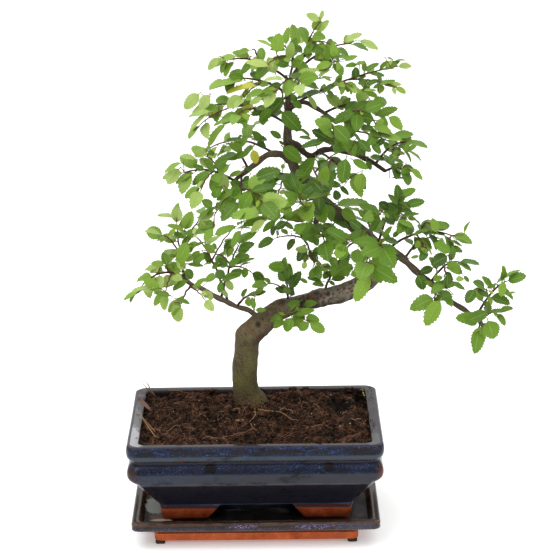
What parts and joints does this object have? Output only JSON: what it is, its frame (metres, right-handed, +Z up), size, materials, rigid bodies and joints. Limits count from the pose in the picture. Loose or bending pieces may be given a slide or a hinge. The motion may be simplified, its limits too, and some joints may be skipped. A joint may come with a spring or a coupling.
{
  "type": "potted bonsai tree",
  "caption": "Bonsai tree with an S-shaped trunk and open leafy limbs, planted in a glazed rectangular footed pot that stands on a shallow drip tray.",
  "frame": {"origin": "under the middle of the whole plant's bounding box, on the surface that the tray's pads stand on", "axes": "+Z up; X along the long sides of the pot; -Y towards the front, the side that the picture shows"},
  "size_m": [0.3128, 0.1956, 0.4025],
  "materials": {
    "bark": "grey-brown bark with pores and scars",
    "leaf": "glossy green leaf, paler below",
    "pot_glaze": "dark blue speckled glaze, bare terracotta feet",
    "soil": "dark brown peat with fibres",
    "netting": "dark plastic netting",
    "tray_glaze": "brown-black glaze, bare terracotta base",
    "pad": "black rubber"
  },
  "bodies": {
    "root": {"trunk_and_limbs": "bark", "spray_left_tip": "leaf", "spray_left_hanging": "leaf", "spray_left_rising": "leaf", "spray_left_middle": "leaf", "spray_left_under": "leaf", "spray_mid_left_tip": "leaf", "spray_mid_left_up": "leaf", "spray_mid_left_front": "leaf", "spray_centre_left": "leaf", "spray_centre_front": "leaf", "spray_hanging_low": "leaf", "spray_hanging_front": "leaf", "spray_upper_left": "leaf", "spray_upper_left_high": "leaf", "spray_top_left": "leaf", "spray_apex": "leaf", "spray_apex_left": "leaf", "spray_top_right": "leaf", "spray_apex_front": "leaf", "spray_fine_right": "leaf", "spray_upper_right": "leaf", "spray_upper_right_tip": "leaf", "spray_mid_right": "leaf", "spray_mid_right_tip": "leaf", "spray_mid_right_front": "leaf", "spray_right_hanging": "leaf", "spray_right_centre": "leaf", "spray_centre_big": "leaf", "spray_centre_low": "leaf", "spray_right_rising": "leaf", "spray_right_knee": "leaf", "spray_right_big": "leaf", "spray_right_end": "leaf", "spray_right_end_low": "leaf", "spray_knot": "leaf", "spray_burl": "leaf", "spray_under_bend": "leaf", "spray_back_left": "leaf", "spray_back_left_low": "leaf", "spray_back_centre": "leaf", "spray_back_right": "leaf", "spray_back_upper": "leaf", "spray_back_high": "leaf", "spray_back_low": "leaf", "spray_back_right_low": "leaf", "pot": "pot_glaze", "soil": "soil", "drain_netting_left": "netting", "drain_netting_right": "netting", "drip_tray": "tray_glaze", "tray_pad_front_left": "pad", "tray_pad_front_right": "pad", "tray_pad_rear_left": "pad", "tray_pad_rear_right": "pad"}
  },
  "joints": []
}
